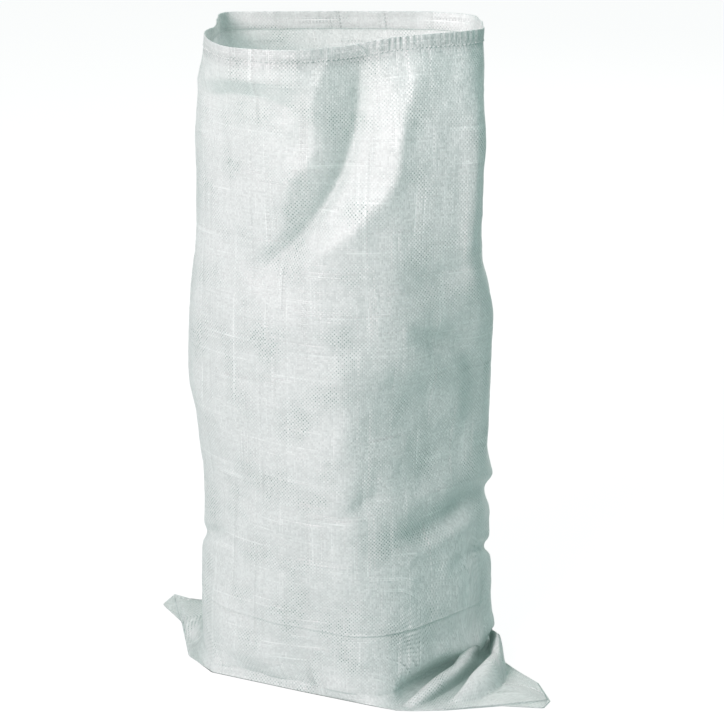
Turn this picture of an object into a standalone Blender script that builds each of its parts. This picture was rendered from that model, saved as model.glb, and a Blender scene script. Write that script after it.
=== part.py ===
# Rubble sack: one tube of white woven polypropylene, hemmed at the mouth, folded and
# stitched across the bottom, and standing open on its boxed-out base.
# Metres, +Z up. The bottom seam runs along X, the front is -Y, and the origin is the
# middle of the base on the floor.
import math

import bmesh
import bpy
import numpy as np

MM = 0.001

# The flat sack, as sold, and how it stands
FLAT_WIDTH = 600 * MM
STANDING_HEIGHT = 868 * MM
GIRTH = 2 * FLAT_WIDTH
VIEW_TURN = math.radians(28)       # the body's wide side is turned this far from X

# Thickness of the solid: the cloth itself is 0.15 mm, drawn here as a wall
WALL = 2.8 * MM
MOUTH_HEM = 23 * MM                # depth of the hem turned in at the mouth
HEM_EXTRA = 1.2 * MM               # what the turned hem adds inside the wall
BASE = 6.0 * MM                    # base and ears, with the bottom hem folded under
EDGE_EASE = 0.5 * MM               # how far the base's top edge is drawn in
CREASE_REACH = 0.97                # where the wall creases over an ear, from the edge inwards
FOOT_CREASE = 0.6 * MM             # its height over the ears
HEM_STEP = 0.5 * MM                # drop over which the turned hem ends
INNER_CORNER = 6.0 * MM            # how far the floor inside is drawn in from the wall
FLOOR_CREASE = 0.3 * MM            # rise of the floor inside above the base

# Sewing threads
THREAD = 1.0 * MM
THREAD_GAP = 0.4 * MM
MOUTH_STITCH_DROP = 16 * MM        # stitch line below the rim
SEAM_SPAN = 550 * MM
SEAM_OFFSET = 10 * MM              # the seam lies this far behind the middle of the base
OVAL_SPARE = (1.25, 6.0)           # the oval that shapes the groove, over its length and width
GROOVE_WIDTH = THREAD + 2 * THREAD_GAP
GROOVE_DEPTH = THREAD + 2 * THREAD_GAP

# Where the body's wide side is looked at from; its folds are placed as they look from here
VIEW_DISTANCE = 2750 * MM
VIEW_HEIGHT = 1310 * MM

# Corners of the base on the floor: place along the girth, X, Y (mm)
BASE_OUTLINE = [
    (-20, 308, -31), (20, 286, 10), (75, 216, 46), (156, 146, 152), (444, -140, 156),
    (530, -214, 98), (585, -308, 25), (615, -310, -8), (700, -187, -132),
    (756, -130, -164), (900, 6, -158), (1040, 146, -148), (1100, 200, -119),
]

# Foot of the wall on top of the base: its height, then place along the girth, X, Y (mm)
FOOT_TOP = 10
WALL_FOOT = [
    (0, 231, -20), (60, 206, 38), (110, 172, 104), (156, 138, 144), (300, 0, 155),
    (444, -136, 150), (520, -182, 96), (600, -206, 10), (680, -196, -76),
    (756, -126, -158), (900, 8, -154), (1044, 152, -140), (1120, 205, -88),
]

# Plans of the body at a few heights, seen square to its wide side (across, away), each
# from its right-hand edge round by the back (mm)
PLANS = {
    70: [
        (140, -95), (170, -64), (190, -32), (197, 12), (186, 80), (130, 132), (60, 156), (-20, 180),
        (-92, 182), (-145, 145), (-188, 94), (-208, 32), (-204, -28), (-174, -80), (-122, -120), (-65, -147),
        (-18, -167), (10, -173), (42, -168), (76, -150), (110, -123),
    ],
    130: [
        (140, -95), (168, -67), (184, -38), (190, 50), (166, 114), (90, 172), (-20, 188), (-115, 165),
        (-186, 112), (-208, 40), (-202, -20), (-168, -74), (-120, -116), (-65, -144), (-15, -164), (12, -169),
        (38, -165), (75, -147), (108, -122),
    ],
    250: [
        (135, -74), (164, -46), (179, -22), (185, 10), (187, 50), (165, 110), (90, 170), (-20, 188), (-115, 165),
        (-182, 108), (-202, 35), (-196, -20), (-165, -70), (-120, -112), (-70, -147), (-30, -163), (2, -168),
        (32, -157), (66, -136), (100, -106),
    ],
    400: [
        (138, -69), (166, -46), (182, -26), (188, 4), (188, 50), (168, 108), (90, 172), (-20, 190), (-120, 168),
        (-196, 110), (-220, 35), (-211, -20), (-173, -70), (-125, -108), (-75, -138), (-30, -156), (0, -158),
        (25, -149), (60, -128), (100, -98),
    ],
    500: [
        (140, -92), (167, -73), (180, -54), (184, -20), (184, 42), (147, 118), (60, 166), (-40, 182), (-130, 162),
        (-196, 106), (-217, 32), (-207, -25), (-165, -76), (-112, -116), (-60, -142), (-15, -153), (40, -148),
        (80, -132), (108, -114),
    ],
    610: [
        (130, -115), (153, -105), (162, -92), (165, -60), (165, 40), (122, 114), (50, 158), (-40, 172),
        (-130, 153), (-188, 98), (-205, 25), (-195, -28), (-145, -80), (-95, -114), (-40, -140), (15, -148),
        (55, -142), (95, -128),
    ],
    750: [
        (132, -105), (156, -95), (164, -82), (167, -50), (167, 50), (124, 122), (40, 162), (-50, 171),
        (-130, 151), (-186, 102), (-202, 32), (-195, -18), (-165, -58), (-124, -95), (-82, -117), (-40, -124),
        (5, -125), (60, -123), (98, -115),
    ],
}
PLAN_STEPS = 1201
FRONT_MIDDLE = -76 * MM            # across, where the front's middle tape stands
FRONT_FROM = -60 * MM              # away, nearer than which a place is on the front

# Mouth in the same view, with the rise of its rim (mm)
MOUTH = [
    (168, 22, 2), (169, 62, 0), (163, 108, 0), (122, 136, 0), (60, 142, 0), (0, 144, 0), (-112, 140, 0),
    (-172, 133, 0), (-173, 85, 0), (-174, 28, 0), (-183, -16, 0), (-182, -42, -1), (-160, -98, -4),
    (-102, -124, -4), (-15, -120, -2), (50, -98, 4), (104, -77, 5), (142, -58, 5), (161, -40, 5),
]
RISE_REACH = 200 * MM              # how far down the rise of the rim is felt

# Folds on the front, in the same view (mm): how far each side of the line is felt, how
# gently the sides meet, then the line as across, up, height on its left and on its right
FOLDS = {
    "mouth_valley": (44, 36, 10, [
        (22, 852, -1, -1), (16, 824, -9, -9), (12, 775, -20, -20), (-4, 703, -25, -25), (-17, 672, -26, -26),
        (-34, 643, -26, -26), (-57, 613, -26, -26), (-82, 584, -22, -22), (-110, 558, -13, -13), (-141, 534, 0, 0)]),
    "mouth_ridge": (36, 60, 10, [
        (88, 850, 2, 2), (84, 810, 8, 8), (80, 762, 14, 14), (58, 672, 15, 15), (34, 632, 14, 14),
        (4, 598, 12, 12), (-34, 566, 10, 10), (-75, 538, 5, 5), (-120, 520, 0, 0)]),
    "left_crest": (38, 26, 6, [
        (-20, 846, 0, 0), (-36, 812, 5, 5), (-50, 776, 8, 8), (-44, 712, 8, 8), (-84, 658, 8, 8), (-86, 610, 7, 7),
        (-112, 582, 5, 5), (-140, 556, 0, 0)]),
    "left_shelf": (26, 22, 8, [
        (-210, 792, 7, 4), (-176, 794, 7, 3), (-112, 774, 5, 1), (-70, 742, 0, 0)]),
    "right_cheek": (34, 34, 8, [(60, 470, 2, 2), (98, 432, 7, 7), (156, 402, 6, 6)]),
    "right_hollow": (26, 30, 8, [(96, 492, -4, -4), (130, 464, -9, -9), (175, 458, -8, -8)]),
    "low_fold": (18, 26, 6, [
        (186, 226, -9, -9), (152, 212, -8, -8), (124, 188, -7, -7), (102, 162, -5, -5), (70, 146, 0, 0)]),
    "corner_lip": (24, 22, 6, [
        (150, -32, 0, 0), (172, -13, 4, -6), (194, 14, 5, -7), (203, 46, 0, 0)]),
    "first_roll": (14, 14, 6, [
        (84, -86, -1, 0), (112, -59, -9, 3), (144, -32, -9, 3), (166, -8, -1, 0)]),
    "second_roll": (16, 16, 6, [
        (114, -92, -1, 0), (142, -79, -9, 3), (167, -57, -13, 5), (189, -31, -12, 5), (202, -8, -6, 2),
        (205, 14, -2, 0)]),
}
FACING_FROM = -0.4                 # folds fade out as the wall turns away from the view

# Rings up the wall (mm)
ROW_HEIGHTS = [
    14, 26, 40, 55, 72, 96, 122, 148, 174, 202, 228, 254, 290, 335, 380, 420, 455, 490, 525, 555,
    582, 608, 634, 660, 686, 712, 738, 764, 790, 820, 845, 852, 868,
]
GIRTH_STEP = 20 * MM


def remove_everything():
    for obj in list(bpy.data.objects):
        bpy.data.objects.remove(obj, do_unlink=True)


def new_collection(name):
    collection = bpy.data.collections.new(name)
    bpy.context.scene.collection.children.link(collection)
    return collection


def make_material(name, colour, roughness):
    material = bpy.data.materials.new(name)
    material.use_nodes = True
    shader = material.node_tree.nodes["Principled BSDF"]
    shader.inputs["Base Color"].default_value = (*colour, 1.0)
    shader.inputs["Roughness"].default_value = roughness
    shader.inputs["Metallic"].default_value = 0.0
    return material


def curve_through(xs, ys, x):
    """Smooth curve through given points, or rows of them: cubic pieces with averaged slopes."""
    slopes = np.gradient(ys, xs, axis=0)
    i = np.clip(np.searchsorted(xs, x) - 1, 0, len(xs) - 2)
    wide = (...,) + (None,) * (np.ndim(ys) - 1)
    step = (xs[i + 1] - xs[i])[wide]
    t = np.clip((x - xs[i])[wide] / step, 0.0, 1.0)
    rise = 3 * t**2 - 2 * t**3
    out = ys[i] + (ys[i + 1] - ys[i]) * rise
    out += step * slopes[i] * (t**3 - 2 * t**2 + t)
    return out + step * slopes[i + 1] * (t**3 - t**2)


def closed_curve(points, girth, smooth):
    """Rows of a place round the girth and its values in mm, read at places in metres."""
    table = np.array(points, dtype=float) * MM
    lap = np.zeros(table.shape[1])
    lap[0] = GIRTH
    table = np.vstack([table[-3:] - lap, table, table[:3] + lap])
    read = curve_through if smooth else lambda xs, ys, x: np.interp(x, xs, ys)
    return np.stack([read(table[:, 0], column, girth) for column in table.T[1:]], axis=1)


def girth_places():
    """Places round the girth: every corner of the base, and even steps between them."""
    corners = [row[0] * MM for row in BASE_OUTLINE]
    places = []
    for start, end in zip(corners, corners[1:] + [corners[0] + GIRTH]):
        steps = max(1, round((end - start) / GIRTH_STEP))
        places.extend(start + (end - start) * k / steps for k in range(steps))
    return np.array(places)


def turned(points, angle):
    c, s = math.cos(angle), math.sin(angle)
    return np.stack([points[:, 0] * c - points[:, 1] * s, points[:, 0] * s + points[:, 1] * c], axis=1)


def ease(t):
    t = np.clip(t, 0.0, 1.0)
    return t * t * (3 - 2 * t)


def run_along(points):
    """Length of a line of points, from its start to each of them."""
    steps = np.linalg.norm(np.diff(points, axis=0), axis=1)
    return np.concatenate([[0.0], np.cumsum(steps)])


def plan_ring(plan, girth):
    """A closed plan as a smooth curve, whose own length is shared out as the girth is,
    from the front's middle tape, so that the tapes run straight up."""
    points = np.array(plan, dtype=float) * MM
    points = np.vstack([points[-3:], points, points[:4]])
    run = run_along(points[:, :2])
    curve = curve_through(run, points, np.linspace(run[3], run[-4], PLAN_STEPS))
    length = run_along(curve[:, :2])
    off_middle = np.where(curve[:, 1] < FRONT_FROM, abs(curve[:, 0] - FRONT_MIDDLE), GIRTH)
    share = (girth / GIRTH - 0.75) * length[-1] + length[np.argmin(off_middle)]
    return np.stack([np.interp(share % length[-1], length, column) for column in curve.T], axis=1)


def body_form(girth):
    """The wall without its folds, at the few heights where its plan is known."""
    plans = [plan_ring(plan, girth) for plan in PLANS.values()]
    mouth = plan_ring(MOUTH, girth)
    rings = [closed_curve(WALL_FOOT, girth, True)]
    rings += [turned(ring, VIEW_TURN) for ring in [*plans, mouth[:, :2]]]
    heights = np.array([FOOT_TOP, *PLANS]) * MM
    return np.append(heights, STANDING_HEIGHT), np.array(rings), mouth[:, 2]


def outward(ring):
    """Unit normals of a closed ring of points that runs anticlockwise."""
    along = np.roll(ring, -1, axis=0) - np.roll(ring, 1, axis=0)
    normal = np.stack([along[:, 1], -along[:, 0]], axis=1)
    return normal / np.linalg.norm(normal, axis=1)[:, None]


def seen(ring, height):
    """Across and up of a ring's points, as they look from the viewpoint on the upright
    plane through the sack's middle."""
    flat = turned(ring, -VIEW_TURN)
    nearness = VIEW_DISTANCE / (VIEW_DISTANCE + flat[:, 1])
    return flat[:, 0] * nearness, VIEW_HEIGHT + (height - VIEW_HEIGHT) * nearness


def fold_height(across, up, fold):
    """Height of one fold: a bell on each side of its line, joined by a smooth step."""
    left_width, right_width, soft, line = fold
    stops = np.array(line, dtype=float) * MM
    run = run_along(stops[:, :2])
    along = np.linspace(0, run[-1], 4 * len(stops))
    path = curve_through(run, stops, along)
    nearest = np.full(len(across), 1.0)
    side = np.zeros(len(across))
    share = np.zeros(len(across))
    for a, b, start, end in zip(path, path[1:], along, along[1:]):
        step_x, step_y = b[:2] - a[:2]
        t = ((across - a[0]) * step_x + (up - a[1]) * step_y) / (step_x**2 + step_y**2)
        t = np.clip(t, 0.0, 1.0)
        gap_x, gap_y = across - a[0] - t * step_x, up - a[1] - t * step_y
        away = np.hypot(gap_x, gap_y)
        closer = away < nearest
        nearest = np.where(closer, away, nearest)
        side = np.where(closer, np.sign(step_x * gap_y - step_y * gap_x), side)
        share = np.where(closer, start + t * (end - start), share)
    left = np.interp(share, along, path[:, 2]) * np.exp(-((nearest / (left_width * MM)) ** 2))
    right = np.interp(share, along, path[:, 3]) * np.exp(-((nearest / (right_width * MM)) ** 2))
    left_share = 0.5 + 0.5 * np.tanh(side * nearest / (soft * MM))
    return left * left_share + right * (1 - left_share)


def wall_ring(form, height):
    """Outer face of the wall at one height, with the folds of its front."""
    ring = curve_through(form[0], form[1], np.array([height]))[0]
    across, up = seen(ring, height)
    to_view = np.array([math.sin(VIEW_TURN), -math.cos(VIEW_TURN)])
    facing = ease((outward(ring) @ to_view - FACING_FROM) / -FACING_FROM)
    relief = sum(fold_height(across, up, fold) for fold in FOLDS.values()) * facing
    return ring + outward(ring) * relief[:, None]


def groove_ring(girth):
    """Long narrow loop round the seam groove, in step with the girth: a larger oval
    that is cut off at the groove's ends and sides."""
    angle = 2 * math.pi * girth / GIRTH
    half_span = SEAM_SPAN / 2 + THREAD_GAP
    half_width = GROOVE_WIDTH / 2
    x = np.clip(OVAL_SPARE[0] * half_span * np.cos(angle), -half_span, half_span)
    y = np.clip(OVAL_SPARE[1] * half_width * np.sin(angle), -half_width, half_width)
    return np.stack([x, SEAM_OFFSET + y], axis=1)


def at_height(ring, height):
    return np.column_stack([ring, np.full(len(ring), height)])


def raised(form, ring, height):
    """A wall ring with the rise of the rim, which dies away down the wall."""
    felt = ease(1 - (STANDING_HEIGHT - height) / RISE_REACH)
    return at_height(ring, height) + form[2][:, None] * felt * np.array([0.0, 0.0, 1.0])


def sack_rings(girth, form):
    """All rings of the closed solid, from the groove under the base, out over the ears,
    up the wall, over the rim and down the inside to the floor of the sack."""
    groove = groove_ring(girth)
    outline = closed_curve(BASE_OUTLINE, girth, False)
    rings = [at_height(groove, GROOVE_DEPTH), at_height(groove, 0.0), at_height(outline, 0.0)]
    rings.append(at_height(outline - outward(outline) * EDGE_EASE, BASE))
    outside = [wall_ring(form, height * MM) for height in ROW_HEIGHTS]
    rings.append(at_height(outline + (outside[0] - outline) * CREASE_REACH, BASE + FOOT_CREASE))
    rings += [raised(form, ring, height * MM) for ring, height in zip(outside, ROW_HEIGHTS)]
    hem_edge = STANDING_HEIGHT - MOUTH_HEM
    for ring, height in zip(reversed(outside), reversed(ROW_HEIGHTS)):
        inward = -outward(ring)
        if height * MM > hem_edge - HEM_STEP:
            rings.append(raised(form, ring + inward * (WALL + HEM_EXTRA), height * MM))
        if height * MM < hem_edge + HEM_STEP:
            rings.append(raised(form, ring + inward * WALL, height * MM - HEM_STEP))
    rings.append(at_height(outside[0] - outward(outside[0]) * INNER_CORNER, BASE + FLOOR_CREASE))
    return rings


def loft(name, rings, material, collection):
    """Closed solid through rings of equal length, with a cap at each end."""
    mesh = bpy.data.meshes.new(name)
    bm = bmesh.new()
    rows = [[bm.verts.new(point) for point in ring] for ring in rings]
    count = len(rows[0])
    for lower, upper in zip(rows, rows[1:]):
        for i in range(count):
            j = (i + 1) % count
            bm.faces.new((lower[i], lower[j], upper[j], upper[i]))
    bm.faces.new(list(reversed(rows[0])))
    bm.faces.new(rows[-1])
    bmesh.ops.triangulate(bm, faces=bm.faces)
    bmesh.ops.recalc_face_normals(bm, faces=bm.faces)
    bm.to_mesh(mesh)
    bm.free()
    mesh.shade_smooth()
    mesh.set_sharp_from_angle(angle=math.radians(50))
    mesh.materials.append(material)
    obj = bpy.data.objects.new(name, mesh)
    collection.objects.link(obj)
    return obj


def thread_curve(name, points, cyclic, material, collection):
    curve = bpy.data.curves.new(name, "CURVE")
    curve.dimensions = "3D"
    curve.bevel_depth = THREAD / 2
    curve.bevel_resolution = 1
    curve.use_fill_caps = not cyclic
    spline = curve.splines.new("POLY")
    spline.points.add(len(points) - 1)
    for point, place in zip(spline.points, points):
        point.co = (*place, 1.0)
    spline.use_cyclic_u = cyclic
    curve.materials.append(material)
    obj = bpy.data.objects.new(name, curve)
    collection.objects.link(obj)
    return obj


def main():
    remove_everything()
    collection = new_collection("rubble_sack")
    cloth = make_material("woven_polypropylene", (0.80, 0.84, 0.83), 0.45)
    cotton = make_material("sewing_thread", (0.86, 0.88, 0.87), 0.7)

    girth = girth_places()
    form = body_form(girth)
    loft("sack_body", sack_rings(girth, form), cloth, collection)

    stitch_height = STANDING_HEIGHT - MOUTH_STITCH_DROP
    wall = wall_ring(form, stitch_height)
    line = wall + outward(wall) * (THREAD_GAP + THREAD / 2)
    thread_curve("mouth_hem_thread", raised(form, line, stitch_height), True, cotton, collection)

    seam_height = THREAD_GAP + THREAD / 2
    ends = [(x, SEAM_OFFSET, seam_height) for x in (-SEAM_SPAN / 2, SEAM_SPAN / 2)]
    thread_curve("bottom_seam_thread", ends, False, cotton, collection)


main()
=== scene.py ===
import math

import bpy
import numpy as np
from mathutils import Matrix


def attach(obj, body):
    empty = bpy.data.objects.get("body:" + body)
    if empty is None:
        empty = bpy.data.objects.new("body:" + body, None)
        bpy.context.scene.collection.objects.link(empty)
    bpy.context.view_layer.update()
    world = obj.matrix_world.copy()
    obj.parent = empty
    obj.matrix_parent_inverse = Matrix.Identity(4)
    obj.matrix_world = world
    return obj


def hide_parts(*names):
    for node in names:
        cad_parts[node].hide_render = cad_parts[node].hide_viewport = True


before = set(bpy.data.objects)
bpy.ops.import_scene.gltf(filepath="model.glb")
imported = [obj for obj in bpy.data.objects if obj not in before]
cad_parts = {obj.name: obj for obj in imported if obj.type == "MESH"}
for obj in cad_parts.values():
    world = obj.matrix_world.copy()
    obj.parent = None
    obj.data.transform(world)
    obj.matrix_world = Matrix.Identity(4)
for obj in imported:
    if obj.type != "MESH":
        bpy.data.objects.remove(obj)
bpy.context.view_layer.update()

# A rubble sack of white woven polypropylene: one circular-woven tube, hemmed at the mouth,
# stitched across the bottom and standing open on its boxed-out base.
# Lengths in the dictionaries are millimetres unless a note says otherwise.
mm = 0.001
girth = 2 * 600 * mm                       # once round the tube, which lies flat 600 mm wide
turn = math.radians(28)                    # the camera looks at the sack from this far round


# Camera: what the photograph's viewpoint comes to, in metres, degrees and pixels
view = {
    "distance": 2.75, "height": 1.31, "tilt": 17.95, "turnedIn": 0.293,
    "focalPixels": 2150, "framePixels": 724, "sensor": 36.0,
}


# Camera place, its level right-hand direction and its level forward direction
def viewAxes():
    back = view["distance"]
    place = np.array([math.sin(turn) * back, -math.cos(turn) * back, view["height"]])
    right = np.array([math.cos(turn), math.sin(turn), 0.0])
    forward = np.array([-math.sin(turn), math.cos(turn), 0.0])
    return place, right, forward


# The lens comes from the focal length in pixels: focal / frame width x sensor width
def makeCamera():
    camera = bpy.data.objects.new("camera", bpy.data.cameras.new("camera"))
    bpy.context.scene.collection.objects.link(camera)
    camera.location = viewAxes()[0]
    heading = turn - math.radians(view["turnedIn"])
    camera.rotation_euler = (math.radians(90 - view["tilt"]), 0, heading)
    camera.data.sensor_width = view["sensor"]
    camera.data.lens = view["focalPixels"] / view["framePixels"] * view["sensor"]
    bpy.context.scene.camera = camera
    print("camera placed")


# sRGB hex text to a linear colour with alpha 1
def linear(hexColour):
    parts = [int(hexColour[i:i + 2], 16) / 255 for i in (0, 2, 4)]
    return tuple(p / 12.92 if p <= 0.04045 else ((p + 0.055) / 1.055) ** 2.4 for p in parts) + (1.0,)


# One shader node, and the socket that it gives. The kind may be the name of a sum, for a Math
# node. Values go into its first sockets in order, and settings go by attribute or socket; a
# value that is another node's socket is linked
def addNode(tree, kind, *values, settings=None, gives=0):
    isSum = not kind.startswith("ShaderNode")
    node = tree.nodes.new("ShaderNodeMath" if isSum else kind)
    if isSum:
        node.operation = kind
    for name, value in [*(settings or {}).items(), *enumerate(values)]:
        if isinstance(name, str) and hasattr(node, name):
            setattr(node, name, value)
        elif isinstance(value, bpy.types.NodeSocket):
            tree.links.new(value, node.inputs[name])
        else:
            node.inputs[name].default_value = value
    return node.outputs[gives]


# Light: a broad soft key from the camera's left, a dim softbox behind, a weak one overhead and
# a cool room. Azimuths run from the camera's side towards its left, in degrees
lamps = {
    "key softbox": {
        "azimuth": 38, "height": 29, "distance": 5200, "size": 2670, "power": 270, "colour": "FFEBF0"},
    "fill softbox": {
        "azimuth": 205, "height": 34, "distance": 4200, "size": 2000, "power": 60, "colour": "FFF3EE"},
}
room = {
    "aim": 450,                            # how far up the sack the two softboxes point
    "colour": "D3FFF8", "strength": 0.335, "topHeight": 3200, "topSize": 1500, "topPower": 12,
}


# A square softbox: its power in watts and the length of its side
def makeSoftbox(name, power, size, colour):
    lamp = bpy.data.objects.new(name, bpy.data.lights.new(name, "AREA"))
    bpy.context.scene.collection.objects.link(lamp)
    lamp.data.energy = power
    lamp.data.size = size * mm
    lamp.data.color = linear(colour)[:3]
    return lamp


# Each softbox stands at its azimuth and height on a sphere round the aim, facing the aim
def makeLights():
    for name, part in lamps.items():
        lamp = makeSoftbox(name, part["power"], part["size"], part["colour"])
        heading = turn - math.radians(part["azimuth"])
        tilt = math.radians(part["height"])
        reach = part["distance"] * mm
        level = math.cos(tilt) * reach
        lamp.location = (math.sin(heading) * level, -math.cos(heading) * level,
                         math.sin(tilt) * reach + room["aim"] * mm)
        lamp.rotation_euler = (math.pi / 2 - tilt, 0, heading)
    top = makeSoftbox("overhead softbox", room["topPower"], room["topSize"], room["colour"])
    top.location = (0, 0, room["topHeight"] * mm)
    world = bpy.data.worlds.new("room")
    bpy.context.scene.world = world
    world.use_nodes = True
    air = world.node_tree.nodes["Background"]
    air.inputs["Color"].default_value = linear(room["colour"])
    air.inputs["Strength"].default_value = room["strength"]
    bpy.context.scene.view_settings.view_transform = "Standard"
    print("lights placed")


ground = {"reach": 30000, "colour": "FDFDFD", "glow": 0.93, "matt": "6E6E6E", "roughness": 0.9}


# The floor glows, so that it stays near white in the sack's shadow, and it sends no light up
def makeFloor():
    mesh = bpy.data.meshes.new("floor")
    reach = ground["reach"] * mm
    corners = [(-reach, -reach, 0), (reach, -reach, 0), (reach, reach, 0), (-reach, reach, 0)]
    mesh.from_pydata(corners, [], [(0, 1, 2, 3)])
    floor = bpy.data.objects.new("floor", mesh)
    bpy.context.scene.collection.objects.link(floor)
    material = bpy.data.materials.new("pale matt floor")
    material.use_nodes = True
    shader = material.node_tree.nodes["Principled BSDF"]
    shader.inputs["Base Color"].default_value = linear(ground["matt"])
    shader.inputs["Roughness"].default_value = ground["roughness"]
    shader.inputs["Specular IOR Level"].default_value = 0.0
    shader.inputs["Emission Color"].default_value = linear(ground["colour"])
    shader.inputs["Emission Strength"].default_value = ground["glow"]
    mesh.materials.append(material)
    floor.visible_diffuse = False
    print("floor laid")


# The body of the sack. Plans are seen from above, square to the camera: across, away.
body = {
    "standing": 868, "footTop": 10,
    "rimReach": 200,                       # how far down the uneven height of the rim is felt
    # the front's middle tape: how far across it stands, and its share of the way round
    "middleTape": -76, "middleShare": 0.75,
    "frontFrom": -60,                      # a plan's front lies nearer than this
    "planSteps": 1201,
    # closed plans at a few heights, each from the right-hand seam line round by the back
    "plans": [
        (38, [
            (145, -93), (176, -64), (194, -28), (197, 12), (186, 76), (130, 130), (60, 152),
            (-20, 178), (-86, 184), (-138, 152), (-186, 98), (-208, 32), (-203, -30), (-174, -81),
            (-123, -116), (-65, -141), (-18, -162), (12, -173), (42, -171), (72, -157), (110, -124)]),
        (70, [
            (140, -95), (170, -64), (190, -32), (195, 12), (186, 80), (130, 132), (60, 156),
            (-20, 180), (-92, 182), (-145, 145), (-188, 94), (-208, 32), (-203, -28), (-173, -79),
            (-122, -115), (-65, -142), (-18, -163), (10, -172), (42, -168), (76, -150), (110, -123)]),
        (130, [
            (140, -95), (168, -67), (184, -38), (190, 50), (166, 114), (90, 172), (-20, 188),
            (-115, 165), (-186, 112), (-208, 40), (-202, -20), (-168, -74), (-120, -116),
            (-65, -144), (-15, -164), (12, -169), (38, -165), (75, -147), (108, -122)]),
        (250, [
            (135, -74), (164, -46), (179, -22), (185, 10), (187, 50), (165, 110), (90, 170),
            (-20, 188), (-115, 165), (-182, 108), (-202, 35), (-196, -20), (-165, -70),
            (-120, -112), (-70, -147), (-30, -163), (2, -168), (32, -157), (66, -136), (100, -106)]),
        (400, [
            (138, -69), (166, -46), (182, -26), (188, 4), (188, 50), (168, 108), (90, 172),
            (-20, 190), (-120, 168), (-196, 110), (-220, 35), (-211, -20), (-173, -70),
            (-125, -108), (-75, -138), (-30, -156), (0, -158), (25, -149), (60, -128), (100, -98)]),
        (500, [
            (140, -92), (170, -73), (182, -58), (185, -20), (184, 42), (147, 118), (60, 166),
            (-40, 182), (-130, 162), (-196, 106), (-217, 32), (-207, -25), (-165, -76),
            (-112, -116), (-60, -142), (-15, -153), (40, -148), (80, -132), (108, -114)]),
        (610, [
            (130, -115), (157, -105), (165, -93), (166, -60), (165, 40), (122, 114), (50, 158),
            (-40, 172), (-130, 153), (-188, 98), (-205, 25), (-195, -28), (-145, -80), (-95, -114),
            (-40, -140), (15, -148), (55, -142), (95, -128)]),
        (750, [
            (132, -105), (160, -95), (167, -83), (168, -50), (167, 50), (124, 122), (40, 162),
            (-50, 171), (-130, 151), (-186, 102), (-202, 32), (-195, -18), (-165, -58), (-124, -95),
            (-82, -117), (-40, -124), (5, -125), (60, -123), (98, -115)]),
    ],
    # the mouth's plan, with the rise of its rim
    "mouth": [
        (168, 22, 2), (169, 62, 0), (163, 108, 0), (122, 136, 0), (60, 142, 0), (0, 144, 0),
        (-112, 140, 0), (-172, 133, 0), (-173, 85, 0), (-174, 28, 0), (-183, -16, 0),
        (-182, -42, -1), (-157, -93, -5), (-100, -116, -7), (-15, -112, -5), (50, -95, 3),
        (104, -77, 5), (142, -58, 5), (161, -40, 5)],
    # place round the girth, across, away: foot of the wall on top of the ears and base
    "foot": [
        (0, 166, -60), (30, 182, -36), (60, 192, -8), (110, 198, 35), (156, 187, 70),
        (300, 73, 137), (444, -50, 196), (520, -116, 170), (600, -177, 106), (680, -209, 25),
        (756, -187, -79), (792, -158, -94), (828, -127, -109), (864, -97, -124), (900, -66, -139),
        (980, -3, -171), (1020, 36, -178), (1044, 56, -170), (1062, 66, -151), (1080, 78, -131),
        (1100, 92, -114), (1120, 106, -99), (1160, 136, -73)],
}


# A smooth step from 0 to 1: 3 t^2 - 2 t^3
def easeIn(t):
    t = np.clip(t, 0.0, 1.0)
    return t * t * (3 - 2 * t)


# Smooth curve through points: cubic pieces whose slopes are averaged at each point
def curveThrough(xs, ys, x):
    slopes = np.gradient(ys, xs, axis=0)
    i = np.clip(np.searchsorted(xs, x) - 1, 0, len(xs) - 2)
    wide = (...,) + (None,) * (np.ndim(ys) - 1)
    step = (xs[i + 1] - xs[i])[wide]
    t = np.clip((x - xs[i])[wide] / step, 0.0, 1.0)
    rise = 3 * t**2 - 2 * t**3
    out = ys[i] + (ys[i + 1] - ys[i]) * rise
    out += step * slopes[i] * (t**3 - 2 * t**2 + t)
    return out + step * slopes[i + 1] * (t**3 - t**2)


# Length of a line of points, from its start to each of them
def runAlong(points):
    return np.concatenate([[0.0], np.cumsum(np.linalg.norm(np.diff(points, axis=0), axis=1))])


# Rows of (place round the girth, values...) in mm, read at places in metres: as a smooth curve
# or as straight pieces, closed round the girth
def roundGirth(rows, around, smooth=True):
    table = np.array(rows, dtype=float) * mm
    lap = np.zeros(table.shape[1])
    lap[0] = girth
    table = np.vstack([table[-3:] - lap, table, table[:3] + lap])
    if smooth:
        return [curveThrough(table[:, 0], column, around) for column in table.T[1:]]
    return [np.interp(around, table[:, 0], column) for column in table.T[1:]]


# X, Y of a place given square to the camera: across and away, turned by the camera's turn
def toWorld(across, away):
    return np.stack([across * math.cos(turn) - away * math.sin(turn),
                     across * math.sin(turn) + away * math.cos(turn)], axis=-1)


# A closed plan as a smooth curve, read at equal steps of its own length. Three quarters of the
# way round it lies where the front's middle tape stands, so that the tapes run straight up
def planRing(plan, around):
    points = np.array(plan, dtype=float) * mm
    points = np.vstack([points[-3:], points, points[:4]])
    run = runAlong(points)
    curve = curveThrough(run, points, np.linspace(run[3], run[-4], body["planSteps"]))
    length = runAlong(curve)
    offMiddle = abs(curve[:, 0] - body["middleTape"] * mm)
    start = length[np.argmin(np.where(curve[:, 1] < body["frontFrom"] * mm, offMiddle, 1.0))]
    share = (around / girth - body["middleShare"]) * length[-1] + start
    return np.stack([np.interp(share % length[-1], length, column) for column in curve.T], axis=-1)


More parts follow.
